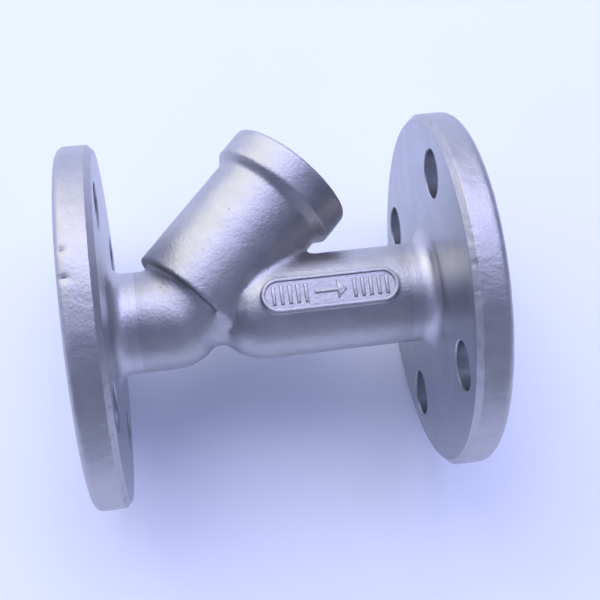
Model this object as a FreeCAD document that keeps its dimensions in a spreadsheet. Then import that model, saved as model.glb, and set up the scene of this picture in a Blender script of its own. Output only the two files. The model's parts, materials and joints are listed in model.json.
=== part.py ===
import FreeCAD, Part
import math
import os

import Sketcher

# Flanged y strainer, DN32. Millimetres.
# The flow runs along +X from the inlet flange's sealing face, which is centred on the origin.
# The screen leg leaves the run at leg_angle in the XY plane, towards +X and +Y. +Z is up.

os.makedirs("parts", exist_ok=True)
doc = FreeCAD.newDocument("y_strainer")

SIZES = {
    "face_to_face": 150,
    "bore_dia": 32,
    "cast_bore": 32.6,
    "pipe_od": 38,
    "flange_od": 135,
    "plate_thick": 13,
    "rim_round": 3,
    "face_od": 78,
    "face_height": 2,
    "groove_pitch": 3,
    "groove_depth": 0.5,
    "bolt_circle": 100,
    "bolt_hole": 18,
    "bolt_count": 4,
    "hub_fillet": 5.5,
    "neck_end": 22.5,
    "weld_width": 2,
    "weld_sag": 1.5,
    "leg_offset": 37,
    "leg_angle": 45,
    "dome_offset": 71,
    "neck_start": 1.5,
    "leg_start": 9.5,
    "leg_od": 47,
    "leg_bore": 39,
    "seat_depth": 12,
    "collar_start": 60.5,
    "collar_od": 53,
    "collar_fillet": 2.5,
    "crotch_fillet": 2.5,
    "valley_fillet": 3.5,
    "edge_round": 0.8,
    "leg_end": 73,
    "ledge_depth": 62,
    "thread_dia": 45,
    "thread_gap": 0.08,
    "plate_length": 51,
    "plate_width": 12.6,
    "plate_middle": 95,
    "plate_top": 20.4,
    "mark_height": 0.7,
    "mark_width": 1.3,
    "bar_length": 7,
    "bar_pitch": 3,
    "arrow_length": 12,
    "ring_od": 37.2,
    "ring_thick": 2,
    "ring_bore": 26,
    "spigot_length": 4,
    "screen_od": 32,
    "screen_wall": 1,
    "hole_dia": 3.2,
    "row_pitch": 5.2,
    "holes_round": 18,
    "liner_gap": 0.05,
    "liner_wall": 0.4,
    "seam_width": 5,
    "gasket_thick": 1.5,
    "gasket_bore": 39.6,
    "gasket_gap": 0.3,
    "plug_drop": 0.5,
    "plug_chamfer": 1,
    "plug_spigot_gap": 0.4,
    "hex_flats": 22,
    "hex_depth": 6,
    "play": 0.2,
}
GROOVES = 3
SCREEN_ROWS = 8
BARS = 5
FIRST_END = 1
LAST_END = 2

sheet = doc.addObject("Spreadsheet::Sheet", "Sizes")
for line, (alias, size) in enumerate(SIZES.items(), start=1):
    sheet.set(f"A{line}", alias)
    sheet.set(f"B{line}", str(size))
    sheet.setAlias(f"B{line}", alias)
doc.recompute()


def value(expression):
    """The number that an expression on the sheet gives now."""
    return float(sheet.evalExpression(expression.replace("Sizes.", "")))


def new_body(label, shift=None, turn=None):
    """A body whose own X axis lies at shift along the run, turned about +Z by turn."""
    body = doc.addObject("PartDesign::Body", label)
    body.Label = label
    if shift:
        body.setExpression("Placement.Base.x", shift)
    if turn:
        body.setExpression("Placement.Rotation.Angle", turn)
    return body


def leg_body(label):
    """A body whose X axis is the axis of the leg, measured from where it meets the run's axis."""
    return new_body(label, "Sizes.leg_offset", "Sizes.leg_angle")


def origin_part(body, role):
    return next(part for part in body.Origin.OriginFeatures if part.Role == role)


def new_sketch(body, name, plane="XY_Plane", offsets=()):
    """A sketch on one of the body's origin planes, moved on it by the bound offsets."""
    sketch = body.newObject("Sketcher::SketchObject", name)
    sketch.AttachmentSupport = [(origin_part(body, plane), "")]
    sketch.MapMode = "FlatFace"
    for path, expression in offsets:
        sketch.setExpression(f"AttachmentOffset.{path}", expression)
    return sketch


ALONG_LEG = (("Base.x", "Sizes.leg_offset"), ("Rotation.Angle", "Sizes.leg_angle"))


def bind(sketch, direction, point, expression):
    """Holds one coordinate of a sketch point at an expression of the sheet."""
    if expression == "0":
        axis = -2 if direction == "DistanceX" else -1
        sketch.addConstraint(Sketcher.Constraint("PointOnObject", *point, axis))
        return
    number = sketch.addConstraint(Sketcher.Constraint(direction, *point, value(expression)))
    sketch.setExpression(f"Constraints[{number}]", expression)


def arc_between(start, end, centre_y):
    """The short arc between two points with its centre at a height, and whether it runs backwards."""
    middle = (start + end) / 2
    chord = end - start
    centre_x = middle.x - (centre_y - middle.y) * chord.y / chord.x
    centre = FreeCAD.Vector(centre_x, centre_y, 0)
    first = math.atan2(start.y - centre.y, start.x - centre.x)
    last = math.atan2(end.y - centre.y, end.x - centre.x)
    sweep = (last - first) % (2 * math.pi)
    backwards = sweep > math.pi
    if backwards:
        first, last = last, first
    circle = Part.Circle(centre, FreeCAD.Vector(0, 0, 1), (start - centre).Length)
    return Part.ArcOfCircle(circle, first, last), backwards


def outline(sketch, corners):
    """A closed outline through corners (x, y). A third value makes the next edge an arc,
    and is the height of its centre."""
    points = [FreeCAD.Vector(value(corner[0]), value(corner[1]), 0) for corner in corners]
    ends = []
    for here, corner in enumerate(corners):
        start = points[here]
        end = points[(here + 1) % len(points)]
        if len(corner) == 3:
            arc, backwards = arc_between(start, end, value(corner[2]))
            edge = sketch.addGeometry(arc)
            ends.append((edge, 2, 1) if backwards else (edge, 1, 2))
        else:
            edge = sketch.addGeometry(Part.LineSegment(start, end))
            ends.append((edge, 1, 2))
    for here, (edge, first, last) in enumerate(ends):
        following, entry, _ = ends[(here + 1) % len(ends)]
        sketch.addConstraint(Sketcher.Constraint("Coincident", edge, last, following, entry))
        bind(sketch, "DistanceX", (edge, first), corners[here][0])
        bind(sketch, "DistanceY", (edge, first), corners[here][1])
        if len(corners[here]) == 3:
            bind(sketch, "DistanceY", (edge, 3), corners[here][2])


def round_hole(sketch, x, y, diameter):
    centre = FreeCAD.Vector(value(x), value(y), 0)
    edge = sketch.addGeometry(Part.Circle(centre, FreeCAD.Vector(0, 0, 1), value(diameter) / 2))
    bind(sketch, "DistanceX", (edge, 3), x)
    bind(sketch, "DistanceY", (edge, 3), y)
    number = sketch.addConstraint(Sketcher.Constraint("Diameter", edge, value(diameter)))
    sketch.setExpression(f"Constraints[{number}]", diameter)


def turned(body, name, corners, kind="Revolution", offsets=()):
    """Adds (Revolution) or cuts (Groove) a full turn of an outline about its sketch's X axis."""
    sketch = new_sketch(body, f"{name}_outline", offsets=offsets)
    outline(sketch, corners)
    feature = body.newObject(f"PartDesign::{kind}", name)
    feature.Profile = sketch
    feature.ReferenceAxis = (sketch, ["H_Axis"])
    feature.Angle = 360
    return feature


def pocket(body, name, sketch):
    """Cuts a sketch's outlines through everything on one side of its plane."""
    feature = body.newObject("PartDesign::Pocket", name)
    feature.Profile = sketch
    feature.Type = "ThroughAll"
    return feature


def polar(body, name, originals, count):
    pattern = body.newObject("PartDesign::PolarPattern", name)
    pattern.Originals = originals
    pattern.Axis = (origin_part(body, "X_Axis"), [""])
    pattern.Angle = 360
    pattern.setExpression("Occurrences", count)
    body.Tip = pattern
    return pattern


def rounded(body, name, edges, radius, kind="Fillet"):
    """A fillet or chamfer on the edges of the body's tip that a test picks."""
    doc.recompute()
    base = body.Tip
    found = enumerate(base.Shape.Edges, start=1)
    picked = [f"Edge{number}" for number, edge in found if edges(edge)]
    feature = body.newObject(f"PartDesign::{kind}", name)
    feature.Base = (base, picked)
    feature.setExpression("Radius" if kind == "Fillet" else "Size", radius)
    return feature


def circles(radius, x, offsets=()):
    """A test for circles of a radius about the X axis at x, or about the leg's axis x along it."""
    middle = FreeCAD.Vector(value(x), 0, 0)
    if offsets:
        angle = math.radians(value("Sizes.leg_angle"))
        middle = FreeCAD.Vector(math.cos(angle), math.sin(angle), 0) * middle.x
        middle.x += value("Sizes.leg_offset")

    def picks(edge):
        curve = edge.Curve
        if not isinstance(curve, Part.Circle):
            return False
        return abs(curve.Radius - value(radius)) < 1e-4 and (curve.Center - middle).Length < 1e-3

    return picks


def meeting(body, first, second):
    """A test for the free-form edges where a cylinder of one radius meets a round face of another."""
    doc.recompute()
    shape = body.Tip.Shape
    wanted = sorted((value(first), value(second)))

    def picks(edge):
        if isinstance(edge.Curve, (Part.Circle, Part.Ellipse, Part.Line)):
            return False
        faces = shape.ancestorsOfType(edge, Part.Face)
        radii = sorted(getattr(face.Surface, "Radius", 0) for face in faces)
        return len(radii) == 2 and all(abs(a - b) < 1e-4 for a, b in zip(radii, wanted))

    return picks


def capsule(start, middle, radius, towards):
    """Outline of a tube that is flat at start and ends in a half ball centred on middle."""
    if towards > 0:
        pole = f"{middle} + {radius}"
        return [(start, "0"), (start, radius), (middle, radius, "0"), (pole, "0")]
    pole = f"{middle} - {radius}"
    return [(pole, "0", "0"), (middle, radius), (start, radius), (start, "0")]


BORE = "Sizes.bore_dia / 2"
CAST_BORE = "Sizes.cast_bore / 2"
PIPE = "Sizes.pipe_od / 2"
LEG = "Sizes.leg_od / 2"
COLLAR = "Sizes.collar_od / 2"
CHAMBER = "Sizes.leg_bore / 2"
THREAD = "Sizes.thread_dia / 2"
INLET_END = "Sizes.neck_end + Sizes.weld_width"
OUTLET_END = "Sizes.face_to_face - Sizes.neck_end - Sizes.weld_width"


def casting_outside():
    """The outer skin: outlet run with a domed end, inlet elbow, leg with its collar."""
    body = new_body("casting_outside")
    turned(body, "outlet_run", capsule(OUTLET_END, "Sizes.dome_offset", PIPE, -1))
    turned(body, "inlet_elbow", capsule(INLET_END, "Sizes.leg_offset", PIPE, 1))
    leg_corners = [
        ("Sizes.neck_start", "0"),
        ("Sizes.neck_start", PIPE),
        ("Sizes.leg_start", PIPE),
        ("Sizes.leg_start", LEG),
        ("Sizes.collar_start", LEG),
        ("Sizes.collar_start", COLLAR),
        ("Sizes.leg_end", COLLAR),
        ("Sizes.leg_end", "0"),
    ]
    turned(body, "leg", leg_corners, offsets=ALONG_LEG)
    crotch = meeting(body, LEG, PIPE)
    rounded(body, "crotch_fillet", crotch, "Sizes.crotch_fillet")
    valley = meeting(body, PIPE, PIPE)
    rounded(body, "valley_fillet", valley, "Sizes.valley_fillet")
    under_collar = circles(LEG, "Sizes.collar_start", ALONG_LEG)
    rounded(body, "collar_fillet", under_collar, "Sizes.collar_fillet")
    collar_ends = {"collar_lower_edge": "Sizes.collar_start", "collar_upper_edge": "Sizes.leg_end"}
    for name, place in collar_ends.items():
        rounded(body, name, circles(COLLAR, place, ALONG_LEG), "Sizes.edge_round")
    rating_plate(body)
    return body


def slot_outline(sketch, length, width):
    """An obround centred on the sketch's origin, its straight sides along X."""
    reach = f"({length} - {width}) / 2"
    half = f"{width} / 2"
    ends = []
    for side, first in ((1, -math.pi / 2), (-1, math.pi / 2)):
        centre = FreeCAD.Vector(side * value(reach), 0, 0)
        circle = Part.Circle(centre, FreeCAD.Vector(0, 0, 1), value(half))
        arc = sketch.addGeometry(Part.ArcOfCircle(circle, first, first + math.pi))
        bind(sketch, "DistanceX", (arc, 3), reach if side > 0 else f"-{reach}")
        bind(sketch, "DistanceY", (arc, 3), "0")
        number = sketch.addConstraint(Sketcher.Constraint("Radius", arc, value(half)))
        sketch.setExpression(f"Constraints[{number}]", half)
        ends.append(arc)
    right, left = ends
    for start, finish, side in ((right, left, 1), (left, right, -1)):
        reach_x = value(reach) * side
        level = value(half) * side
        line = sketch.addGeometry(
            Part.LineSegment(FreeCAD.Vector(reach_x, level, 0), FreeCAD.Vector(-reach_x, level, 0))
        )
        sketch.addConstraint(Sketcher.Constraint("Tangent", start, LAST_END, line, FIRST_END))
        sketch.addConstraint(Sketcher.Constraint("Tangent", line, LAST_END, finish, FIRST_END))


def raised(body, name, sketch, height):
    """Adds a sketch's outlines as a block that stands from its plane up to a height."""
    feature = body.newObject("PartDesign::Pad", name)
    feature.Profile = sketch
    feature.setExpression("Length", height)
    return feature


def rectangle(sketch, x, y, width, depth):
    """A rectangle by its middle and its two sizes."""
    left, right = f"{x} - {width} / 2", f"{x} + {width} / 2"
    low, high = f"{y} - {depth} / 2", f"{y} + {depth} / 2"
    outline(sketch, [(left, low), (right, low), (right, high), (left, high)])


def rating_plate(body):
    """The cast obround plate on top of the outlet run, with a raised rim, bars and a flow arrow."""
    at_plate = (("Base.x", "Sizes.plate_middle"),)
    plate = new_sketch(body, "plate_outline", offsets=at_plate)
    slot_outline(plate, "Sizes.plate_length", "Sizes.plate_width")
    raised(body, "plate", plate, "Sizes.plate_top")

    top = "Sizes.plate_top + Sizes.mark_height"
    rim = new_sketch(body, "plate_rim_outline", offsets=at_plate)
    slot_outline(rim, "Sizes.plate_length", "Sizes.plate_width")
    inner = "Sizes.mark_width * 2"
    slot_outline(rim, f"(Sizes.plate_length - {inner})", f"(Sizes.plate_width - {inner})")
    raised(body, "plate_rim", rim, top)

    marks = new_sketch(body, "plate_marks", offsets=at_plate)
    for side in ("-", ""):
        for step in range(BARS):
            x = f"{side}(Sizes.arrow_length / 2 + Sizes.bar_pitch * {step + 1})"
            rectangle(marks, x, "0", "Sizes.mark_width", "Sizes.bar_length")
    half_shaft = "Sizes.mark_width / 2"
    head = "Sizes.arrow_length / 2 - Sizes.bar_length / 2"
    tip = "Sizes.arrow_length / 2"
    outline(marks, [
        (f"-({tip})", f"-({half_shaft})"),
        (head, f"-({half_shaft})"),
        (head, "-(Sizes.bar_length / 2)"),
        (tip, "0"),
        (head, "Sizes.bar_length / 2"),
        (head, half_shaft),
        (f"-({tip})", half_shaft),
    ])
    raised(body, "plate_bars", marks, top)


def casting_inside():
    """The water space: outlet way, inlet elbow, screen chamber, gasket ledge and cover thread."""
    body = new_body("casting_inside")
    turned(body, "outlet_way", capsule(OUTLET_END, "Sizes.dome_offset", CAST_BORE, -1))
    seat_wall = [
        ("0", "0"),
        ("0", PIPE),
        ("Sizes.seat_depth", PIPE),
        ("Sizes.seat_depth", "0"),
    ]
    turned(body, "seat_wall", seat_wall, "Groove", ALONG_LEG)
    turned(body, "inlet_way", capsule(INLET_END, "Sizes.leg_offset", CAST_BORE, 1))
    chamber_corners = [
        ("0", "0"),
        ("0", CAST_BORE),
        ("Sizes.seat_depth", CAST_BORE),
        ("Sizes.seat_depth", CHAMBER),
        ("Sizes.ledge_depth", CHAMBER),
        ("Sizes.ledge_depth", THREAD),
        ("Sizes.leg_end", THREAD),
        ("Sizes.leg_end", "0"),
    ]
    turned(body, "chamber", chamber_corners, offsets=ALONG_LEG)
    return body


def body_casting():
    casting = doc.addObject("Part::Cut", "body_casting")
    casting.Label = "body_casting"
    casting.Base = casting_outside()
    casting.Tool = casting_inside()
    return casting


def flange(label, shift=None, turn=None):
    """A welding-neck flange. Its own X runs from the sealing face towards the pipe."""
    body = new_body(label, shift, turn)
    face = "Sizes.face_od / 2"
    rim = "Sizes.flange_od / 2"
    plate_back = "Sizes.face_height + Sizes.plate_thick"
    hub = f"{PIPE} + Sizes.hub_fillet"
    corners = [("0", BORE)]
    for groove in range(GROOVES):
        middle = f"{face} - Sizes.groove_pitch * {2 * (GROOVES - groove)}"
        corners += [
            ("0", f"{middle} - Sizes.groove_depth"),
            ("Sizes.groove_depth", middle),
            ("0", f"{middle} + Sizes.groove_depth"),
        ]
    corners += [
        ("0", face),
        ("Sizes.face_height", face),
        ("Sizes.face_height", rim),
        (plate_back, rim),
        (plate_back, hub, hub),
        (f"{plate_back} + Sizes.hub_fillet", PIPE),
        ("Sizes.neck_end", PIPE),
        ("Sizes.neck_end", BORE),
    ]
    turned(body, f"{label}_blank", corners)
    for name, place in (("front", "Sizes.face_height"), ("back", plate_back)):
        rounded(body, f"{label}_{name}_round", circles(rim, place), "Sizes.rim_round")
    hole = new_sketch(body, f"{label}_bolt_hole_circle", "YZ_Plane")
    reach = "Sizes.bolt_circle / 2 * sqrt(0.5)"
    round_hole(hole, reach, reach, "Sizes.bolt_hole")
    first = pocket(body, f"{label}_bolt_hole", hole)
    first.Reversed = True
    polar(body, f"{label}_bolt_holes", [first], "Sizes.bolt_count")
    return body


def weld(label, shift=None, turn=None):
    """The dressed butt weld between a flange's neck and the casting, with a slight crown."""
    body = new_body(label, shift, turn)
    end = "Sizes.neck_end + Sizes.weld_width"
    corners = [
        ("Sizes.neck_end", BORE),
        ("Sizes.neck_end", PIPE, f"{PIPE} - Sizes.weld_sag"),
        (end, PIPE),
        (end, BORE),
    ]
    turned(body, f"{label}_bead", corners)
    return body


PLUG_FACE = "Sizes.ledge_depth + Sizes.gasket_thick"
TUBE_START = "Sizes.seat_depth + Sizes.ring_thick"
TUBE_END = "Sizes.ledge_depth + Sizes.gasket_thick - Sizes.play - Sizes.ring_thick"
SCREEN_OUT = "Sizes.screen_od / 2"
SCREEN_IN = "Sizes.screen_od / 2 - Sizes.screen_wall"
LINER_OUT = f"{SCREEN_IN} - Sizes.liner_gap"
LINER_IN = f"{LINER_OUT} - Sizes.liner_wall"


def screen_tube():
    """The perforated tube, drilled in two staggered sets of rows."""
    body = leg_body("screen_tube")
    wall = [
        (TUBE_START, SCREEN_IN),
        (TUBE_START, SCREEN_OUT),
        (TUBE_END, SCREEN_OUT),
        (TUBE_END, SCREEN_IN),
    ]
    turned(body, "screen_wall", wall)
    middle = f"({TUBE_START} + {TUBE_END}) / 2"
    first_row = f"{middle} - Sizes.row_pitch * {(SCREEN_ROWS - 1) / 2}"
    drilled = []
    for odd, name in enumerate(("even_rows", "odd_rows")):
        angle = f"{odd + 1} * 180 / Sizes.holes_round"
        about_x = (("Rotation.Axis.x", "1"), ("Rotation.Axis.z", "0"), ("Rotation.Angle", angle))
        rows = new_sketch(body, f"{name}_circles", offsets=about_x)
        for row in range(odd, SCREEN_ROWS, 2):
            round_hole(rows, f"{first_row} + Sizes.row_pitch * {row}", "0", "Sizes.hole_dia")
        drilled.append(pocket(body, name, rows))
    polar(body, "perforation", drilled, "Sizes.holes_round")
    return body


def screen_seam():
    """The lap strip that is spot-welded over the tube's lengthwise joint."""
    body = leg_body("screen_seam")
    shell = [
        (TUBE_START, SCREEN_OUT),
        (TUBE_START, f"{SCREEN_OUT} + Sizes.screen_wall"),
        (TUBE_END, f"{SCREEN_OUT} + Sizes.screen_wall"),
        (TUBE_END, SCREEN_OUT),
    ]
    strip = turned(body, "seam_strip", shell)
    strip.setExpression("Angle", "Sizes.seam_width / Sizes.screen_od * 360 / pi")
    return body


def mesh_liner():
    body = leg_body("mesh_liner")
    wall = [
        (TUBE_START, LINER_IN),
        (TUBE_START, LINER_OUT),
        (TUBE_END, LINER_OUT),
        (TUBE_END, LINER_IN),
    ]
    turned(body, "liner_wall", wall)
    return body


def screen_ring(label, outer_face, inner_face, towards):
    """An end ring: a flat washer with a spigot, towards the tube, that fits inside the liner."""
    body = leg_body(label)
    spigot = f"{LINER_IN} - Sizes.liner_gap"
    spigot_end = f"{inner_face} + Sizes.spigot_length * {towards}"
    corners = [
        (outer_face, "Sizes.ring_bore / 2"),
        (outer_face, "Sizes.ring_od / 2"),
        (inner_face, "Sizes.ring_od / 2"),
        (inner_face, spigot),
        (spigot_end, spigot),
        (spigot_end, "Sizes.ring_bore / 2"),
    ]
    turned(body, f"{label}_section", corners)
    return body


def cover_gasket():
    body = leg_body("cover_gasket")
    outer = f"{THREAD} - Sizes.gasket_gap"
    corners = [
        ("Sizes.ledge_depth", "Sizes.gasket_bore / 2"),
        ("Sizes.ledge_depth", outer),
        (PLUG_FACE, outer),
        (PLUG_FACE, "Sizes.gasket_bore / 2"),
    ]
    turned(body, "gasket_section", corners)
    return body


def cover_plug():
    """The flush screwed cover: a threaded disc, a spigot that centres the screen and a hexagon socket."""
    body = leg_body("cover_plug")
    outer = f"{THREAD} - Sizes.thread_gap"
    spigot = "Sizes.ring_bore / 2 - Sizes.plug_spigot_gap"
    outside = "Sizes.leg_end - Sizes.plug_drop"
    corners = [
        (f"{PLUG_FACE} - Sizes.ring_thick", "0"),
        (f"{PLUG_FACE} - Sizes.ring_thick", spigot),
        (PLUG_FACE, spigot),
        (PLUG_FACE, outer),
        (outside, outer),
        (outside, "0"),
    ]
    turned(body, "plug_blank", corners)
    for name, place in (("inner", PLUG_FACE), ("outer", outside)):
        rounded(body, f"plug_{name}_chamfer", circles(outer, place), "Sizes.plug_chamfer", "Chamfer")
    socket = new_sketch(body, "socket_hexagon", "YZ_Plane", (("Base.z", outside),))
    corner = "Sizes.hex_flats / sqrt(3)"
    flat = "Sizes.hex_flats / 2"
    outline(socket, [
        (corner, "0"),
        (f"{corner} / 2", flat),
        (f"-({corner} / 2)", flat),
        (f"-({corner})", "0"),
        (f"-({corner} / 2)", f"-({flat})"),
        (f"{corner} / 2", f"-({flat})"),
    ])
    cut = body.newObject("PartDesign::Pocket", "hexagon_socket")
    cut.Profile = socket
    cut.setExpression("Length", "Sizes.hex_depth")
    return body


PARTS = [
    body_casting(),
    flange("inlet_flange"),
    flange("outlet_flange", "Sizes.face_to_face", "180"),
    weld("inlet_weld"),
    weld("outlet_weld", "Sizes.face_to_face", "180"),
    screen_tube(),
    screen_seam(),
    mesh_liner(),
    screen_ring("screen_lower_ring", "Sizes.seat_depth", TUBE_START, 1),
    screen_ring("screen_upper_ring", f"{TUBE_END} + Sizes.ring_thick", TUBE_END, -1),
    cover_gasket(),
    cover_plug(),
]
doc.recompute()

for item in doc.Objects:
    if "Invalid" in item.State or "Error" in item.State:
        raise RuntimeError(f"{item.Label} did not build: {item.State}")

for part in PARTS:
    shape = part.Shape
    if shape.isNull() or not shape.isValid():
        raise RuntimeError(f"{part.Label} has no valid shape")
    if len(shape.Solids) != 1:
        raise RuntimeError(f"{part.Label} is not one solid")
    shape.exportStep(f"parts/{part.Label}.step")
    print(f"{part.Label}: {shape.Volume:.0f} mm3")
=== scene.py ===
import json
import math

import bmesh
import bpy
from mathutils import Matrix, Vector, noise


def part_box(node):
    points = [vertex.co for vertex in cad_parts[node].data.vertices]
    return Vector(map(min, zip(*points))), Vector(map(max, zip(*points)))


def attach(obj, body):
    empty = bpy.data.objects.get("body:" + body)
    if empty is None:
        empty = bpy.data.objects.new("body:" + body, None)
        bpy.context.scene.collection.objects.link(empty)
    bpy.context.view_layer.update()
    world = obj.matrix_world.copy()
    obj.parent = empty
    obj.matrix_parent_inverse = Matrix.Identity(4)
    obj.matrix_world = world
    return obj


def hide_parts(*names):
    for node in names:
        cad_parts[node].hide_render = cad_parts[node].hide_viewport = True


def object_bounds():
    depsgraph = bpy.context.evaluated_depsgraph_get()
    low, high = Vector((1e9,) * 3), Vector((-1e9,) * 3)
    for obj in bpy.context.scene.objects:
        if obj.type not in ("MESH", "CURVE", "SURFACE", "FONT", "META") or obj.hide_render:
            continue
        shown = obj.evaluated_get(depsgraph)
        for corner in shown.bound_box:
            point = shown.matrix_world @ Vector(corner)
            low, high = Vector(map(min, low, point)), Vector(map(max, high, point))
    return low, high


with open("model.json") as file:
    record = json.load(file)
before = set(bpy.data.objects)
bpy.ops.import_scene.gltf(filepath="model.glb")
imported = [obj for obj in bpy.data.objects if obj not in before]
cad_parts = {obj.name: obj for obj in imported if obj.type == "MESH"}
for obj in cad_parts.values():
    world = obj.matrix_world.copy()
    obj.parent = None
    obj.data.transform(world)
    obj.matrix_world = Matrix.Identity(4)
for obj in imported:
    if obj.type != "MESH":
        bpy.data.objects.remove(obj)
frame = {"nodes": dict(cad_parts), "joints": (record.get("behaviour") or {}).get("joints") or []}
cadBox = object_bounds()
mm = 0.001
print("frame loaded:", ", ".join(sorted(frame["nodes"])))

# places read from the frame: the run along X and the leg along the joints' axis
joints = {joint["name"]: joint for joint in frame["joints"]}
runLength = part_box("outlet_flange")[1].x / mm
legAxis = Vector(joints["screen_withdraw"]["axis"]).normalized()
onLeg = Vector(joints["cover_turn"]["pos_m"])
crossing = onLeg - legAxis * (onLeg.y / legAxis.y)
inletMatrix = Matrix.Rotation(math.pi / 2, 4, "Y")
outletMatrix = Matrix.Translation((runLength * mm, 0, 0)) @ Matrix.Rotation(-math.pi / 2, 4, "Y")
legMatrix = Matrix.Translation(crossing) @ legAxis.to_track_quat("Z", "Y").to_matrix().to_4x4()
runAxis = Vector((1, 0, 0))
acrossLeg = Vector((legAxis.y, -legAxis.x, 0))  # towards the outlet's side of the leg


def rounded(corners, steps=5):  # corners: (along, radius[, fillet]) in mm
    points = []
    for i, corner in enumerate(corners):
        here = Vector(corner[:2])
        fillet = corner[2] if len(corner) > 2 else 0
        if not fillet:
            points.append(here)
            continue
        toBefore = (Vector(corners[i - 1][:2]) - here).normalized()
        toAfter = (Vector(corners[(i + 1) % len(corners)][:2]) - here).normalized()
        half = toBefore.angle(toAfter) / 2
        middle = here + (toBefore + toAfter).normalized() * (fillet / math.sin(half))
        start = here + toBefore * (fillet / math.tan(half)) - middle
        end = here + toAfter * (fillet / math.tan(half)) - middle
        sweep = start.angle_signed(end)
        for step in range(steps + 1):
            turn = Matrix.Rotation(-sweep * step / steps, 2)
            points.append(middle + turn @ start)
    return points


def spread(points, step):  # no segment longer than step
    out = [points[0]]
    for a, b in zip(points, points[1:]):
        count = max(1, math.ceil((b - a).length / step - 1e-6))
        out += [a.lerp(b, k / count) for k in range(1, count + 1)]
    return out


def lathe(points, steps, matrix, ring=False):  # (along, radius) in mm, spun about Z, then placed
    bm = bmesh.new()
    verts = [bm.verts.new((p[1] * mm, 0, p[0] * mm)) for p in points]
    pairs = list(zip(verts, verts[1:]))
    if ring:
        pairs.append((verts[-1], verts[0]))
    for a, b in pairs:
        bm.edges.new((a, b))
    bmesh.ops.spin(bm, geom=bm.verts[:] + bm.edges[:], cent=(0, 0, 0), axis=(0, 0, 1),
                   angle=math.tau, steps=steps, use_merge=True)
    bmesh.ops.remove_doubles(bm, verts=bm.verts, dist=1e-7)
    bmesh.ops.recalc_face_normals(bm, faces=bm.faces)
    bmesh.ops.transform(bm, matrix=matrix, verts=bm.verts)
    return bm


def toObject(name, bm):
    mesh = bpy.data.meshes.new(name)
    bm.to_mesh(mesh)
    bm.free()
    mesh.shade_smooth()
    obj = bpy.data.objects.new(name, mesh)
    bpy.context.scene.collection.objects.link(obj)
    return obj


def applyModifier(obj, kind, **settings):
    modifier = obj.modifiers.new(kind.lower(), kind)
    for key, setting in settings.items():
        setattr(modifier, key, setting)
    bpy.context.view_layer.objects.active = obj
    bpy.ops.object.modifier_apply(modifier=modifier.name)


def cut(obj, tool, operation="DIFFERENCE"):
    applyModifier(obj, "BOOLEAN", operation=operation, object=tool, solver="EXACT")
    bpy.data.objects.remove(tool)


def joined(name, parts):
    with bpy.context.temp_override(active_object=parts[0], selected_editable_objects=parts):
        bpy.ops.object.join()
    parts[0].name = name
    return parts[0]


def creases(obj, angle):  # smooth, with hard edges only above this angle in degrees
    obj.data.shade_smooth()
    obj.data.set_sharp_from_angle(angle=math.radians(angle))


def unevenness(point, size, seed):  # smooth, about -1 to 1, lumps of size mm
    return noise.noise(point / (size * mm) + Vector((seed, seed * 0.7, -seed)))


def distanceToLine(point, start, direction):  # distance and place along, in mm
    along = (point - start).dot(direction)
    return (point - start - direction * along).length / mm, along / mm


plate = {
    "middle": 95, "length": 51, "width": 12.6, "baseBottom": 12, "baseTop": 20.4,
    "bottom": 19.6, "top": 21.05, "edge": 0.32, "rimWidth": 1.3,
    "bars": 5, "barPitch": 3.0, "barLength": 7.0, "barWidth": 1.3, "arrow": 12,
}

casting = {
    "pipeRadius": 19, "legRadius": 23.5, "collarRadius": 26.5, "wayRadius": 16.3,
    "start": 24.5, "elbow": 37, "dome": 71,
    "legStart": 9.5, "collarStart": 60.5, "legEnd": 73, "screenRoom": 19.5, "ledge": 62,
    "heelStart": 6.2, "heelSide": 13.0, "webRadius": 17.3, "web": (0.052, 0.0055, 0),
    "valleyRound": 5.1, "voxel": 0.56, "blendReach": 3.6, "blendPasses": 36, "finishPasses": 2,
    "crotchReach": 7.5, "crotchPasses": 130, "heelPasses": 80, "mouthTrim": 0.12,
    "lumps": [(14, 0.10, 3.1), (5, 0.05, 8.4)],  # size, depth, seed
}


def capsule(start, middle, radius, steps=96):  # flat at start, round past middle
    side = math.copysign(1, middle - start)
    points = [(start, 0), (start, radius), (middle, radius)]
    for k in range(1, 13):
        angle = math.pi / 2 * k / 12
        points.append((middle + side * radius * math.sin(angle), radius * math.cos(angle)))
    return lathe(points, steps, inletMatrix)


def raised(bm, faces, height):
    made = bmesh.ops.extrude_face_region(bm, geom=faces)["geom"]
    top = [v for v in made if isinstance(v, bmesh.types.BMVert)]
    bmesh.ops.translate(bm, vec=(0, 0, height * mm), verts=top)
    return top


def softened(bm, edges, width):
    bmesh.ops.bevel(bm, geom=edges, offset=width * mm, offset_type="OFFSET", segments=3,
                    profile=0.5, affect="EDGES", material=-1)


def sliced(bm, place, direction):  # clears what lies ahead and closes the cut
    made = bmesh.ops.bisect_plane(bm, geom=bm.verts[:] + bm.edges[:] + bm.faces[:], dist=1e-7,
                                  plane_co=place, plane_no=direction, clear_outer=True)
    bmesh.ops.edgeloop_fill(bm, edges=[g for g in made["geom_cut"] if isinstance(g, bmesh.types.BMEdge)])


def roundEnded(bm, length, width, middle, height):  # corners of a round-ended bar along the run
    verts = []
    for side in (1, -1):
        for k in range(17):
            angle = -math.pi / 2 + math.pi * k / 16
            x = middle + side * ((length - width) / 2 + width / 2 * math.cos(angle))
            verts.append(bm.verts.new((x * mm, side * width / 2 * math.sin(angle) * mm, height * mm)))
    return verts


def settle(bm, weighted, passes):  # a light weight gets fewer passes
    for k in range(passes):
        verts = [v for v, weight in weighted if weight * passes > k]
        bmesh.ops.smooth_vert(bm, verts=verts, factor=0.5, use_axis_x=True, use_axis_y=True, use_axis_z=True)


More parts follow.
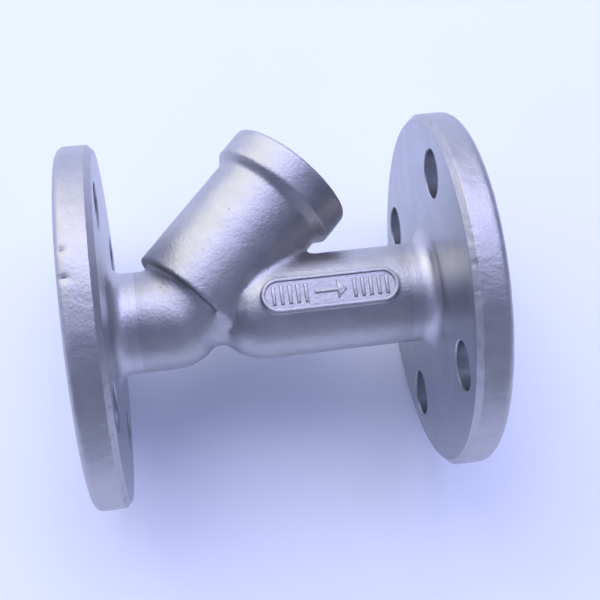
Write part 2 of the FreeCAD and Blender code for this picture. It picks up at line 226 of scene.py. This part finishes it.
def buildPlateBase(s):
    bm = bmesh.new()
    face = bm.faces.new(roundEnded(bm, s["length"], s["width"], s["middle"], s["baseBottom"]))
    raised(bm, [face], s["baseTop"] - s["baseBottom"])
    bmesh.ops.recalc_face_normals(bm, faces=bm.faces)
    return bm


def buildHeel(s):  # the leg's foot reaches lower on the outlet side
    r = s["legRadius"] - 0.3
    outline = [(s["heelStart"], 0), (s["heelStart"], r - 3), (s["legStart"], r), (12, r), (12, 0)]
    bm = lathe(outline, 160, legMatrix)
    sliced(bm, crossing + acrossLeg * s["heelSide"] * mm, -acrossLeg)
    return bm


def buildValley(s):  # hollow between the elbow and the outlet's dome
    middle, half = (s["elbow"] + s["dome"]) / 2, (s["dome"] - s["elbow"]) / 2
    reach = s["pipeRadius"] + s["valleyRound"]
    height = math.sqrt(reach ** 2 - half ** 2)
    opening = math.atan2(half, height)
    points = [(middle + s["valleyRound"] * math.sin(a), height - s["valleyRound"] * math.cos(a))
              for a in (opening * (k / 6 - 1) for k in range(13))]
    return lathe([(points[0][0], 0), *points, (points[-1][0], 0)], 128, inletMatrix)


def buildWeb(s):
    bm = bmesh.new()
    bmesh.ops.create_icosphere(bm, subdivisions=5, radius=s["webRadius"] * mm,
                               matrix=Matrix.Translation(s["web"]))
    return bm


def sortedForSmoothing(bm, s):  # the joints between the shapes, each with its weight
    blend, crotch, heel = [], [], []
    crotchEnd = s["collarStart"] - 4
    for v in bm.verts:
        pastRun = distanceToLine(v.co, Vector((0, 0, 0)), runAxis)[0] - s["pipeRadius"]
        toLeg, alongLeg = distanceToLine(v.co, crossing, legAxis)
        pastLeg, pastStart = toLeg - s["legRadius"], alongLeg - s["legStart"]
        side, height = (v.co - crossing).dot(acrossLeg) / mm, abs(v.co.z) / mm
        nearRun = abs(pastRun) < s["blendReach"]
        nearLeg = abs(pastLeg) < s["blendReach"] and pastStart > -1
        footEdge = pastLeg > -1.2 and abs(pastStart) < 2.5 and side < s["heelSide"]
        foot = abs(pastStart) < s["blendReach"] and pastLeg < -1.5
        onPlate = abs(v.co.y) < 7.4 * mm and v.co.z > 16 * mm and abs(v.co.x / mm - plate["middle"]) < 26.5
        inCrotch = -1 < pastRun < s["crotchReach"] and -1 < pastLeg < s["crotchReach"]
        atNeck = abs(toLeg - s["pipeRadius"]) < 1.5 and nearRun and 0 < alongLeg < s["legStart"]
        atHeel = abs(side - s["heelSide"]) < 7 and alongLeg > -2 and pastStart < 0.5 and toLeg > 12
        if inCrotch and side > 13 and height < 19 and alongLeg < crotchEnd:
            crotch.append((v, min(1, (19 - height) / 8, (side - 13) / 4, (crotchEnd - alongLeg) / 4)))
        elif atHeel or atNeck:
            heel.append((v, 1 if atNeck else min(1, (7 - abs(side - s["heelSide"])) / 5)))
        elif ((nearRun and nearLeg) or foot) and not footEdge and not onPlate:
            blend.append((v, 1))
    return blend, crotch, heel


def buildCasting(s):
    runEnd = runLength - s["start"]
    legOutline = rounded([
        (s["legStart"] - 3, 0), (s["legStart"], 6), (s["legStart"], s["legRadius"], 0.8),
        (s["collarStart"] - 2.4, s["legRadius"], 1.6), (s["collarStart"] + 0.9, s["collarRadius"], 0.6),
        (s["legEnd"], s["collarRadius"], 0.9), (s["legEnd"], 0)])
    neckEnd = s["legStart"] + 4
    neckOutline = [(0, 0), (0, 0.01), (1.5, s["pipeRadius"]), (neckEnd, s["pipeRadius"]), (neckEnd, 0)]
    shells = [
        toObject("inletRun", capsule(s["start"] - 3, s["elbow"], s["pipeRadius"], 160)),
        toObject("outletRun", capsule(runEnd + 3, s["dome"], s["pipeRadius"], 160)),
        toObject("seatNeck", lathe(neckOutline, 160, legMatrix)),
        toObject("leg", lathe(legOutline, 200, legMatrix)),
        toObject("heel", buildHeel(s)),
        toObject("valley", buildValley(s)),
        toObject("web", buildWeb(s)),
        toObject("plateBase", buildPlateBase(plate)),
    ]
    obj = joined("casting", shells)
    applyModifier(obj, "REMESH", mode="VOXEL", voxel_size=s["voxel"] * mm, adaptivity=0)

    bm = bmesh.new()
    bm.from_mesh(obj.data)
    blend, crotch, heel = sortedForSmoothing(bm, s)
    settle(bm, blend, s["blendPasses"])
    settle(bm, crotch, s["crotchPasses"])
    settle(bm, heel, s["heelPasses"])
    settle(bm, [(v, 1) for v in bm.verts], s["finishPasses"])
    bm.normal_update()
    for v in bm.verts:
        shift = sum(depth * (unevenness(v.co, size, seed) - 0.6) for size, depth, seed in s["lumps"])
        v.co += v.normal * (shift * mm)

    sliced(bm, runAxis * s["start"] * mm, -runAxis)
    sliced(bm, runAxis * runEnd * mm, runAxis)
    sliced(bm, crossing + legAxis * (s["legEnd"] - s["mouthTrim"]) * mm, legAxis)
    bmesh.ops.recalc_face_normals(bm, faces=bm.faces)
    bm.to_mesh(obj.data)
    bm.free()
    cut(obj, buildWaterSpace(s, runEnd))
    creases(obj, 34)
    return obj


thread = {
    "bore": 22.5, "depth": 0.95, "pitch": 2.0, "step": 0.25,
    "start": 62.3, "end": 73.2, "fadeIn": 1.2, "fadeOut": 0.6,
}


def threadDepth(along, angle, pitch):  # 0 on the crest, 1 in the root
    place = (along / pitch - angle / math.tau) % 1
    return min(1, max(0, (abs(place - 0.5) - 0.10) / 0.32))


def cutThread(bm, s, radius, outwards):  # moves the fine rows of a lathed surface along a helix
    back = legMatrix.inverted()
    for v in bm.verts:
        p = back @ v.co
        r, along = math.hypot(p.x, p.y), p.z / mm
        if abs(r / mm - radius) > 0.02 or not s["start"] < along < s["end"]:
            continue
        fade = min(1, (along - s["start"]) / s["fadeIn"], (s["end"] - along) / s["fadeOut"])
        depth = threadDepth(along, math.atan2(p.y, p.x), thread["pitch"])
        depth = s["depth"] * fade * (1 - depth if outwards else -depth)
        scale = (r + depth * mm) / r
        v.co = legMatrix @ Vector((p.x * scale, p.y * scale, p.z))


def buildWaterSpace(s, runEnd):
    way = s["wayRadius"]
    outlet = toObject("outletWay", capsule(runEnd + 2, s["dome"], way))
    seatWall = [(-8, 0), (-8, s["pipeRadius"]), (12, s["pipeRadius"]), (12, 0)]
    cut(outlet, toObject("seatWall", lathe(seatWall, 128, legMatrix)))
    space = toObject("inletWay", capsule(s["start"] - 2, s["elbow"], way))
    cut(space, outlet, "UNION")
    bore, ledge, roomy = thread["bore"], s["ledge"], s["screenRoom"]
    outline = [(0, 0), (0, way), (12, way), (12, roomy), (ledge, roomy), (ledge, bore)]
    outline += [(ledge + thread["step"] * k, bore) for k in range(1, int(11 / thread["step"]) + 1)]
    outline += [(s["legEnd"] + 0.1, bore + 0.9), (75, bore + 1.0), (75, 0)]
    legBore = lathe(outline, 144, legMatrix)
    cutThread(legBore, thread, bore, outwards=True)
    cut(space, toObject("legBore", legBore), "UNION")
    return space


castingPiece = buildCasting(casting)
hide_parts("body_casting")
print("casting:", len(castingPiece.data.polygons), "faces")


def castMark(bm, outline, s):
    face = bm.faces.new([bm.verts.new((x * mm, y * mm, s["bottom"] * mm)) for x, y in outline])
    top = raised(bm, [face], s["top"] - s["bottom"])
    softened(bm, [e for e in bm.edges if all(v in top for v in e.verts)], s["edge"])


def buildPlateMarks(s):
    bm = bmesh.new()
    x0, half, reach, tip = s["middle"], s["barWidth"] / 2, s["barLength"] / 2, s["arrow"] / 2
    for side in (-1, 1):
        for step in range(s["bars"]):
            x = x0 + side * (tip + s["barPitch"] * (step + 1))
            castMark(bm, [(x - half, -reach), (x + half, -reach), (x + half, reach), (x - half, reach)], s)
    neck = x0 + tip - reach
    castMark(bm, [(x0 - tip, -half), (neck, -half), (neck, -reach), (x0 + tip, 0),
                  (neck, reach), (neck, half), (x0 - tip, half)], s)
    outer, inner = (roundEnded(bm, s["length"] - inset * 2, s["width"] - inset * 2, x0, s["bottom"])
                    for inset in (0, s["rimWidth"]))
    rim = [bm.faces.new((outer[k - 1], outer[k], inner[k], inner[k - 1])) for k in range(len(outer))]
    top = set(raised(bm, rim, s["top"] - s["bottom"]))
    softened(bm, [e for e in bm.edges if all(v in top for v in e.verts)
                  and sum(1 for f in e.link_faces if all(v in top for v in f.verts)) == 1], s["edge"])
    bmesh.ops.recalc_face_normals(bm, faces=bm.faces)
    for v in bm.verts:
        v.co.z += 0.07 * mm * (unevenness(v.co, 3, 1.7) - 0.6)
        v.co.x += 0.10 * mm * unevenness(v.co, 2.2, 5.2)
        v.co.y += 0.10 * mm * unevenness(v.co, 2.2, 9.2)
    obj = toObject("plateMarks", bm)
    creases(obj, 40)
    return obj


platePiece = buildPlateMarks(plate)
print("plate marks done")


flange = {
    "bore": 16, "face": 39, "faceHeight": 2, "rim": 67.5, "back": 15, "edge": 0.5,
    "rimRound": 3.0, "backChamfer": 2.1, "hub": 24.5, "hubFillet": 5.5, "pipe": 19, "neckEnd": 22.5,
    "grooves": 3, "groovePitch": 6, "grooveDepth": 0.5,
    "holeCircle": 50, "hole": 9, "holeChamfer": 0.45, "step": 1.1, "steps": 400, "rough": 0.08, "nick": 1.5,
}
rimDents = {  # turn, distance from the face, size, depth
    "inlet_flange": [(0.19, 4.6, 1.5, 0.75), (0.045, 4.4, 1.6, 0.85)],
    "outlet_flange": [(1.25, 8.2, 0.8, 0.35), (0.35, 4.3, 0.6, 0.3)],
}


def flangeOutline(s):
    points = [(0, s["bore"] + s["edge"]), (s["edge"], s["bore"]),
              (s["neckEnd"], s["bore"]), (s["neckEnd"], s["pipe"])]
    for k in range(9):
        angle = math.pi / 2 * k / 8
        points.append((s["back"] + s["hubFillet"] * (1 - math.sin(angle)),
                       s["pipe"] + s["hubFillet"] * (1 - math.cos(angle))))
    points = spread([Vector(p) for p in points], 2.5)
    plateOutline = rounded([
        (s["back"], s["hub"]), (s["back"], s["hub"] + 0.5), (s["back"], s["rim"] - s["backChamfer"] - 0.6),
        (s["back"], s["rim"] - s["backChamfer"], 0.35), (s["back"] - s["backChamfer"], s["rim"], 0.5),
        (s["faceHeight"], s["rim"], s["rimRound"]),
        (s["faceHeight"], s["rim"] - s["rimRound"] - 0.4), (s["faceHeight"], s["face"] + 0.8),
        (s["faceHeight"], s["face"], 0.4), (0, s["face"], 0.3), (0, s["face"] - 0.6)], 5)
    for a, b in zip(plateOutline, plateOutline[1:]):
        onRim = min(a.y, b.y) > s["rim"] - s["rimRound"] - 0.1
        points += spread([a, b], s["step"] if onRim else 60)[1:]
    for groove in range(s["grooves"]):
        middle = s["face"] - s["groovePitch"] * (groove + 1)
        depth = s["grooveDepth"]
        points += [Vector((0, middle + depth)), Vector((depth, middle)), Vector((0, middle - depth))]
    return points


def buildFlange(node, matrix, s):
    bm = lathe(flangeOutline(s), s["steps"], matrix, ring=True)
    back = matrix.inverted()
    seed = 2.0 if node == "inlet_flange" else 6.5
    for v in bm.verts:
        p = back @ v.co
        along, r, angle = p.z / mm, math.hypot(p.x, p.y) / mm, math.atan2(v.co.y, v.co.z)
        if r < s["rim"] - s["rimRound"] - 1:
            continue
        onRim = min(1, (r - s["rim"] + s["rimRound"] + 1) / 1.5)
        depth = onRim * s["rough"] * (0.8 - unevenness(v.co, 4, seed) - 0.7 * unevenness(v.co, 1.8, seed + 3))
        for turn, place, size, deep in rimDents[node]:
            off = math.hypot((angle - turn) * s["rim"] / size, (along - place) / (size * 1.5))
            depth += deep * max(0, 1 - off * off) ** 1.5
        inner = math.exp(-((along - s["back"] + 1.2) / 0.8) ** 2) * onRim
        nick = max(0, unevenness(v.co, 1.8, seed + 9) - 0.2)
        depth += inner * nick * s["nick"]
        v.co = matrix @ Vector((p.x * (1 - depth / r), p.y * (1 - depth / r), p.z))
    obj = toObject(node + "Piece", bm)
    cutters = []
    for k in range(4):
        angle = math.pi / 4 + math.pi / 2 * k
        place = Matrix.Translation(Vector((math.cos(angle), math.sin(angle), 0)) * s["holeCircle"] * mm)
        turn = Matrix.Rotation(0.3 + k, 4, "Z")  # keeps the facets off the plate's own edges
        front, rear, r, c = s["faceHeight"], s["back"], s["hole"], s["holeChamfer"]
        outline = [(front - 3, 0), (front - 3, r + c), (front, r + c), (front + c, r), (rear - c, r),
                   (rear, r + c), (rear + 3, r + c), (rear + 3, 0)]
        cutters.append(toObject("boltHole", lathe(outline, 64, matrix @ place @ turn)))
    cut(obj, joined("boltHoles", cutters))
    creases(obj, 30)
    for face in obj.data.polygons:
        face.use_smooth = abs(face.normal.x) < 0.999  # the turned faces stay flat
    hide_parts(node)
    print(node, len(obj.data.polygons), "faces")
    return obj


flangePieces = [buildFlange("inlet_flange", inletMatrix, flange),
                buildFlange("outlet_flange", outletMatrix, flange)]


weldBead = {"inner": 16, "outer": 19, "start": 22.5, "width": 2.0, "sink": 0.01, "ripple": 0.02, "pitch": 1.5}


def buildWeld(node, matrix, s):
    outline = [(s["start"], s["inner"])]
    for k in range(9):
        share = k / 8
        outline.append((s["start"] + s["width"] * share, s["outer"] - s["sink"] * math.sin(math.pi * share)))
    outline.append((s["start"] + s["width"], s["inner"]))
    bm = lathe(outline, 256, matrix, ring=True)
    back = matrix.inverted()
    for v in bm.verts:
        p = back @ v.co
        r = math.hypot(p.x, p.y) / mm
        share = (p.z / mm - s["start"]) / s["width"]
        if r < s["outer"] - 0.5 or not 0.1 < share < 0.9:
            continue
        angle = math.atan2(p.y, p.x)
        wave = math.sin(angle * s["outer"] / s["pitch"] * math.tau / 2 + share * 2.2)
        depth = s["ripple"] * math.sin(math.pi * share) * (0.5 + 0.5 * wave)
        v.co = matrix @ Vector((p.x * (1 - depth / r), p.y * (1 - depth / r), p.z))
    obj = toObject(node + "Piece", bm)
    creases(obj, 40)
    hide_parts(node)
    return obj


weldPieces = [buildWeld("inlet_weld", inletMatrix, weldBead), buildWeld("outlet_weld", outletMatrix, weldBead)]
print("welds done")


wireCloth = {"radius": 14.75, "start": 14.2, "end": 61.1, "around": 92, "along": 47, "wire": 0.30}


def buildWireCloth(s):
    pitch = (s["end"] - s["start"]) / s["along"]
    points = [(s["start"] + pitch * k, s["radius"]) for k in range(s["along"] + 1)]
    obj = toObject("wireCloth", lathe(points, s["around"], legMatrix))
    applyModifier(obj, "WIREFRAME", thickness=s["wire"] * mm, use_replace=True, use_even_offset=False)
    obj.data.shade_smooth()
    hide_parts("mesh_liner")
    return obj


clothPiece = buildWireCloth(wireCloth)
print("wire cloth:", len(clothPiece.data.polygons), "faces")


cover = {
    "radius": 22.42, "start": 63.52, "end": 72.5, "spigotStart": 61.5, "spigot": 12.6, "chamfer": 1.0,
    "socket": 11, "socketDepth": 6, "socketRound": 0.5, "mouth": 1.2,
    "thread": {"depth": 0.9, "start": 64.32, "end": 71.7, "fadeIn": 0.8, "fadeOut": 0.8},
}


def buildCover(s):
    start, end, radius, chamfer = s["start"], s["end"], s["radius"], s["chamfer"]
    outline = rounded([(s["spigotStart"], 0), (s["spigotStart"], s["spigot"], 0.5), (start, s["spigot"]),
                       (start, radius - chamfer), (start + chamfer, radius)], 4)
    rows = int((end - start - 2 * chamfer) / thread["step"])
    outline += [(start + chamfer + thread["step"] * k, radius) for k in range(1, rows)]
    outline += [(end - chamfer, radius), (end, radius - chamfer),
                (end, s["socket"] * 1.155 + s["mouth"]), (end, 0)]
    bm = lathe(outline, 160, legMatrix)
    cutThread(bm, s["thread"], radius, outwards=False)
    obj = toObject("coverPiece", bm)

    socket = bmesh.new()
    corner, depth = s["socket"] / math.cos(math.pi / 6), s["socketDepth"] + 1
    bmesh.ops.create_cone(socket, cap_ends=True, cap_tris=False, segments=6,
                          radius1=corner * mm, radius2=corner * mm, depth=depth * mm)
    corners = [e for e in socket.edges if abs(e.verts[0].co.z - e.verts[1].co.z) > 0.001]
    softened(socket, corners, s["socketRound"])
    middle = Matrix.Translation((0, 0, (end + 1 - depth / 2) * mm))
    bmesh.ops.transform(socket, matrix=legMatrix @ middle, verts=socket.verts)
    cut(obj, toObject("socket", socket))
    mouth = [(end - s["mouth"], 0), (end - s["mouth"], corner - s["mouth"]),
             (end + 0.4, corner + 0.4), (end + 0.4, 0)]
    cut(obj, toObject("socketMouth", lathe(mouth, 96, legMatrix)))
    creases(obj, 30)
    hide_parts("cover_plug")
    return obj


coverPiece = buildCover(cover)
print("cover:", len(coverPiece.data.polygons), "faces")


class Value:  # a shader socket that takes part in ordinary arithmetic
    def __init__(self, shader, socket):
        self.shader, self.socket = shader, socket

    def maths(self, operation, first, second):
        return self.shader.node("ShaderNodeMath", {"operation": operation}, {0: first, 1: second})

    def __add__(self, other):
        return self.maths("ADD", self, other)

    def __sub__(self, other):
        return self.maths("SUBTRACT", self, other)

    def __mul__(self, other):
        return self.maths("MULTIPLY", self, other)

    def __rsub__(self, other):
        return self.maths("SUBTRACT", other, self)

    __radd__ = __add__
    __rmul__ = __mul__

    def between(self, low, high):  # 0 at low, 1 at high, eased
        return self.shader.node("ShaderNodeMapRange", {"interpolation_type": "SMOOTHSTEP"},
                                {"Value": self, "From Min": low, "From Max": high})


class Shader:  # every node goes through node()
    def __init__(self, owner, coordinates="Object"):
        owner.use_nodes = True
        self.owner, self.tree = owner, owner.node_tree
        self.tree.nodes.clear()
        self.place = self.node("ShaderNodeTexCoord", output=coordinates)

    def node(self, kind, settings=None, inputs=None, output=0):
        made = self.tree.nodes.new(kind)
        for key, setting in (settings or {}).items():
            if key == "stops":
                ramp = made.color_ramp.elements
                while len(ramp) < len(setting):
                    ramp.new(0.5)
                for element, (position, colour) in zip(ramp, setting):
                    element.position, element.color = position, (*colour, 1)
            else:
                setattr(made, key, setting)
        for key, wanted in (inputs or {}).items():
            if isinstance(wanted, Value):
                self.tree.links.new(wanted.socket, made.inputs[key])
            else:
                made.inputs[key].default_value = wanted
        return None if output is None else Value(self, made.outputs[output])

    def noise(self, size, detail=2.0, roughness=0.5, at=None):  # 0 to 1, lumps of size mm
        return self.node("ShaderNodeTexNoise", None, {
            "Vector": at or self.place, "Scale": 1000 / size, "Detail": detail, "Roughness": roughness})

    def cells(self, size):
        return self.node("ShaderNodeTexVoronoi", None, {"Vector": self.place, "Scale": 1000 / size})

    def axes(self):
        parts = self.node("ShaderNodeSeparateXYZ", None, {0: self.place})
        return [Value(self, output) for output in parts.socket.node.outputs]

    def towards(self, direction):
        return self.node("ShaderNodeVectorMath", {"operation": "DOT_PRODUCT"},
                         {0: self.place, 1: tuple(direction)}, output="Value")

    def moved(self, matrix):  # coordinates along the piece's own axis
        return [self.towards(row[:3]) + row[3] for row in list(matrix.inverted())[:3]]

    def combined(self, x, y, z):
        return self.node("ShaderNodeCombineXYZ", None, {0: x, 1: y, 2: z})

    def mixed(self, share, first, second):
        first, second = (tone if isinstance(tone, Value) else (*tone, 1) for tone in (first, second))
        return self.node("ShaderNodeMix", {"data_type": "RGBA"}, {0: share, 6: first, 7: second}, output=2)

    def bumps(self, *layers):  # (height, distance in mm), stacked into one normal
        normal = None
        for height, distance in layers:
            inputs = {"Height": height, "Distance": distance * mm, "Strength": 1.0}
            if normal:
                inputs["Normal"] = normal
            normal = self.node("ShaderNodeBump", None, inputs)
        return normal

    def finish(self, *pieces, **inputs):
        names = {"colour": "Base Color", "roughness": "Roughness", "metallic": "Metallic", "normal": "Normal"}
        sockets = {names[key]: wanted for key, wanted in inputs.items()}
        surface = self.node("ShaderNodeBsdfPrincipled", None, sockets)
        self.node("ShaderNodeOutputMaterial", None, {"Surface": surface}, output=None)
        for piece in pieces:
            piece.data.materials.clear()
            piece.data.materials.append(self.owner)


blasted = {
    "light": (0.51, 0.50, 0.505), "dark": (0.465, 0.455, 0.465), "stain": (0.38, 0.36, 0.35),
    "roughness": 0.42, "grain": 1.25, "grainDepth": 0.13, "peel": 4.0, "peelDepth": 0.10,
}


def blastedSteel(name, s):  # fine grain, shallow peel, mottling, few pits darkened with painted shade
    shader = Shader(bpy.data.materials.new(name))
    mottle = shader.noise(9, 3, 0.55)
    cloud = shader.noise(28, 2)
    grain = shader.noise(s["grain"], 2.5, 0.6)
    peel = shader.noise(s["peel"], 1.5)
    pits = 1 - shader.cells(3.4).between(0.035, 0.085)
    sparse = shader.noise(7, 0).between(0.60, 0.66)
    pitsAndPitShade = pits * sparse
    colour = shader.mixed(mottle.between(0.36, 0.66), s["dark"], s["light"])
    colour = shader.mixed(cloud.between(0.60, 0.78) * 0.25, colour, s["stain"])
    # painted shade: the pits are coloured near black in place of the shadow inside their hollows
    colour = shader.mixed(pitsAndPitShade * 0.7, colour, (0.16, 0.15, 0.15))
    roughness = s["roughness"] + (mottle - 0.5) * 0.16 + (grain - 0.5) * 0.14
    normal = shader.bumps((peel, s["peelDepth"]), (grain, s["grainDepth"]), (1 - pitsAndPitShade, 0.10))
    return shader, colour, roughness, normal


shader, colour, roughness, normal = blastedSteel("blasted cast stainless", blasted)
shader.finish(castingPiece, platePiece, colour=colour, roughness=roughness, metallic=1.0, normal=normal)

turned = {
    "faceColour": (0.49, 0.50, 0.53), "faceDark": (0.42, 0.43, 0.46), "faceRoughness": 0.33,
    "pitch": 0.6, "depth": 0.004, "faceStart": 25.0, "faceEnd": 64.9,
    "hubColour": (0.58, 0.565, 0.585), "hubEnd": 24.8,
}


def flangeSteel(s):  # blasted hub and rim, turned faces
    shader, colour, roughness, normal = blastedSteel("turned stainless flange", blasted)
    y, z = shader.axes()[1:]
    radius = shader.node("ShaderNodeVectorMath", {"operation": "LENGTH"},
                         {0: shader.combined(0.0, y, z)}, output="Value") * 1000
    onFace = radius.between(s["faceStart"] - 0.3, s["faceStart"])
    onFace = onFace * (1 - radius.between(s["faceEnd"] - 0.4, s["faceEnd"]))
    wander = shader.noise(30, 2) * 0.6
    rings = shader.noise(s["pitch"], 1.5, at=shader.combined(radius * mm, wander * mm, 0.0))
    broad = shader.noise(3.5, 2, at=shader.combined(radius * mm, 0.0, 0.0))
    clouds = shader.noise(12, 3)
    faceColour = shader.mixed(clouds.between(0.35, 0.7), s["faceDark"], s["faceColour"])
    colour = shader.mixed(1 - radius.between(s["hubEnd"] - 0.4, s["hubEnd"]), colour, s["hubColour"])
    colour = shader.mixed(onFace, colour, faceColour)
    smear = s["faceRoughness"] + (broad - 0.5) * 0.06 + (clouds - 0.5) * 0.12
    roughness = roughness + (smear - roughness) * onFace
    marks = (rings - 0.5) * onFace
    faceNormal = shader.bumps((marks, s["depth"]))
    both = shader.node("ShaderNodeMix", {"data_type": "VECTOR"},
                       {0: onFace, 4: normal, 5: faceNormal}, output=1)
    both = shader.node("ShaderNodeVectorMath", {"operation": "NORMALIZE"}, {0: both})
    return shader, colour, roughness, both


shader, colour, roughness, normal = flangeSteel(turned)
shader.finish(*flangePieces, colour=colour, roughness=roughness, metallic=1.0, normal=normal)


dressed = {"colour": (0.58, 0.565, 0.585), "straw": (0.56, 0.535, 0.53), "roughness": 0.40}


def weldMetal(s):  # brushed round the pipe, faint straw tint
    shader = Shader(bpy.data.materials.new("dressed weld metal"))
    x, y, z = shader.axes()
    brushed = shader.noise(0.35, 2, at=shader.combined(x, y * 0.12, z * 0.12))
    tint = shader.noise(5, 2).between(0.4, 0.75)
    colour = shader.mixed(tint, s["colour"], s["straw"])
    normal = shader.bumps((brushed, 0.02), (shader.noise(0.75, 2), 0.04))
    return shader, colour, s["roughness"] + (brushed - 0.5) * 0.16, normal


shader, colour, roughness, normal = weldMetal(dressed)
shader.finish(*weldPieces, colour=colour, roughness=roughness, metallic=1.0, normal=normal)


nodes = frame["nodes"]
smoothSteels = [  # name, pieces, roughness, two tones, streak size
    ("rolled screen stainless", [nodes["screen_tube"], nodes["screen_seam"]], 0.26,
     (0.52, 0.52, 0.53), (0.62, 0.61, 0.60), 0.30),
    ("turned ring stainless", [nodes["screen_lower_ring"], nodes["screen_upper_ring"]], 0.24,
     (0.56, 0.56, 0.57), (0.64, 0.63, 0.62), 0.22),
    ("drawn wire stainless", [clothPiece], 0.22, (0.50, 0.50, 0.51), (0.66, 0.65, 0.63), 0.6),
    ("turned cover stainless", [coverPiece], 0.25, (0.54, 0.54, 0.56), (0.63, 0.62, 0.62), 0.28),
]

for name, pieces, roughness, dark, light, streak in smoothSteels:
    shader = Shader(bpy.data.materials.new(name))
    x, y, z = shader.moved(legMatrix)
    rolled = shader.noise(streak, 2.5, at=shader.combined(x * 0.1, y * 0.1, z))  # streaks round the leg
    smudges = shader.noise(8, 3)
    shader.finish(*pieces, colour=shader.mixed(smudges.between(0.35, 0.7), dark, light), metallic=1.0,
                  roughness=roughness + (smudges - 0.5) * 0.14 + (rolled - 0.5) * 0.10,
                  normal=shader.bumps((rolled, 0.008), (shader.noise(3, 1), 0.02)))


fluoropolymer = {"white": (0.80, 0.79, 0.75), "dirt": (0.60, 0.58, 0.53), "roughness": 0.48}


def gasketPlastic(s):  # skived, faintly dirty
    shader = Shader(bpy.data.materials.new("white gasket plastic"))
    x, y, z = shader.moved(legMatrix)
    skived = shader.noise(0.5, 2, at=shader.combined(x, y * 0.1, z))
    dirt = shader.noise(4, 3).between(0.5, 0.8)
    shader.finish(nodes["cover_gasket"], colour=shader.mixed(dirt * 0.5, s["white"], s["dirt"]), metallic=0.0,
                  roughness=s["roughness"] + (skived - 0.5) * 0.2, normal=shader.bumps((skived, 0.015)))


gasketPlastic(fluoropolymer)
print("materials done")

for pieces, body, slotName in (
        ([castingPiece, platePiece], "housing", "cast_stainless"),
        (flangePieces, "housing", "turned_stainless"), (weldPieces, "housing", "weld_metal"),
        ([clothPiece], "screen", "woven_mesh"),
        ([coverPiece], "cover", "turned_stainless")):
    for piece in pieces:
        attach(piece, body)


studio = {
    "floorSize": 20.0, "floorColour": (0.78, 0.825, 0.97),
    "window": (-0.42, 0.72, 0.52), "strength": 1.3,
    "sky": [(0.0, (0.26, 0.29, 0.42)), (0.17, (0.24, 0.27, 0.41)), (0.45, (0.18, 0.20, 0.335)),
            (0.61, (0.145, 0.165, 0.295)), (0.72, (0.215, 0.235, 0.405)), (0.82, (0.41, 0.44, 0.72)),
            (0.90, (0.85, 0.90, 1.25)), (0.95, (1.20, 1.24, 1.38)), (1.0, (1.48, 1.50, 1.50))],
    "panel": (0.31, 0.45, 0.84), "panelEdge": (0.83, 0.96), "panelColour": (0.80, 0.80, 1.26),
    "key": {"place": (-0.12, 0.80, 1.50), "aim": (0.075, 0, -0.02), "size": 1.1, "power": 11.0,
            "colour": (1.0, 0.99, 0.98)},
    "camera": {"place": (0.036576, -0.080895, 0.398767), "turn": (12.458, -5.407, -7.689),
               "lens": 64.37, "sensor": 36},
}


def buildFloor(s):
    bm = bmesh.new()
    bmesh.ops.create_grid(bm, x_segments=40, y_segments=40, size=s["floorSize"] / 2,
                          matrix=Matrix.Translation((0, 0, cadBox[0][2])))
    floor = toObject("floor", bm)
    shader = Shader(bpy.data.materials.new("pale floor"))
    soft = shader.noise(60, 2)
    weave = shader.noise(1.2, 2)
    shade = tuple(c * 0.97 for c in s["floorColour"])
    colour = shader.mixed(soft.between(0.3, 0.7) * 0.25, s["floorColour"], shade)
    shader.finish(floor, colour=colour, roughness=0.75 + (weave - 0.5) * 0.1, metallic=0.0,
                  normal=shader.bumps((weave, 0.02)))


def buildLights(s):
    world = bpy.data.worlds.new("studio")
    bpy.context.scene.world = world
    sky = Shader(world, coordinates="Generated")
    facing = sky.towards(Vector(s["window"]).normalized())
    gradient = sky.node("ShaderNodeValToRGB", {"stops": s["sky"]}, {0: facing * 0.5 + 0.5})
    overhead = sky.towards(Vector(s["panel"]).normalized()).between(*s["panelEdge"])
    light = sky.node("ShaderNodeVectorMath", {"operation": "SCALE"}, {0: s["panelColour"], "Scale": overhead})
    light = sky.node("ShaderNodeVectorMath", {"operation": "ADD"}, {0: light, 1: gradient})
    background = sky.node("ShaderNodeBackground", None, {"Color": light, "Strength": s["strength"]})
    sky.node("ShaderNodeOutputWorld", None, {"Surface": background}, output=None)
    key = s["key"]
    lamp = bpy.data.lights.new("key", "AREA")
    lamp.size, lamp.energy, lamp.color = key["size"], key["power"], key["colour"]
    obj = bpy.data.objects.new("key", lamp)
    obj.location = key["place"]
    obj.rotation_euler = (Vector(key["aim"]) - obj.location).to_track_quat("-Z", "Y").to_euler()
    obj.visible_glossy = False  # lights the floor and the shadows only
    bpy.context.scene.collection.objects.link(obj)


def buildCamera(s):
    lens = bpy.data.cameras.new("camera")
    lens.lens, lens.sensor_width = s["lens"], s["sensor"]
    camera = bpy.data.objects.new("camera", lens)
    camera.location = s["place"]
    camera.rotation_euler = [math.radians(angle) for angle in s["turn"]]
    bpy.context.scene.collection.objects.link(camera)
    bpy.context.scene.camera = camera


buildFloor(studio)
buildLights(studio)
buildCamera(studio["camera"])
bpy.context.scene.view_settings.view_transform = "Standard"
print("stage done")
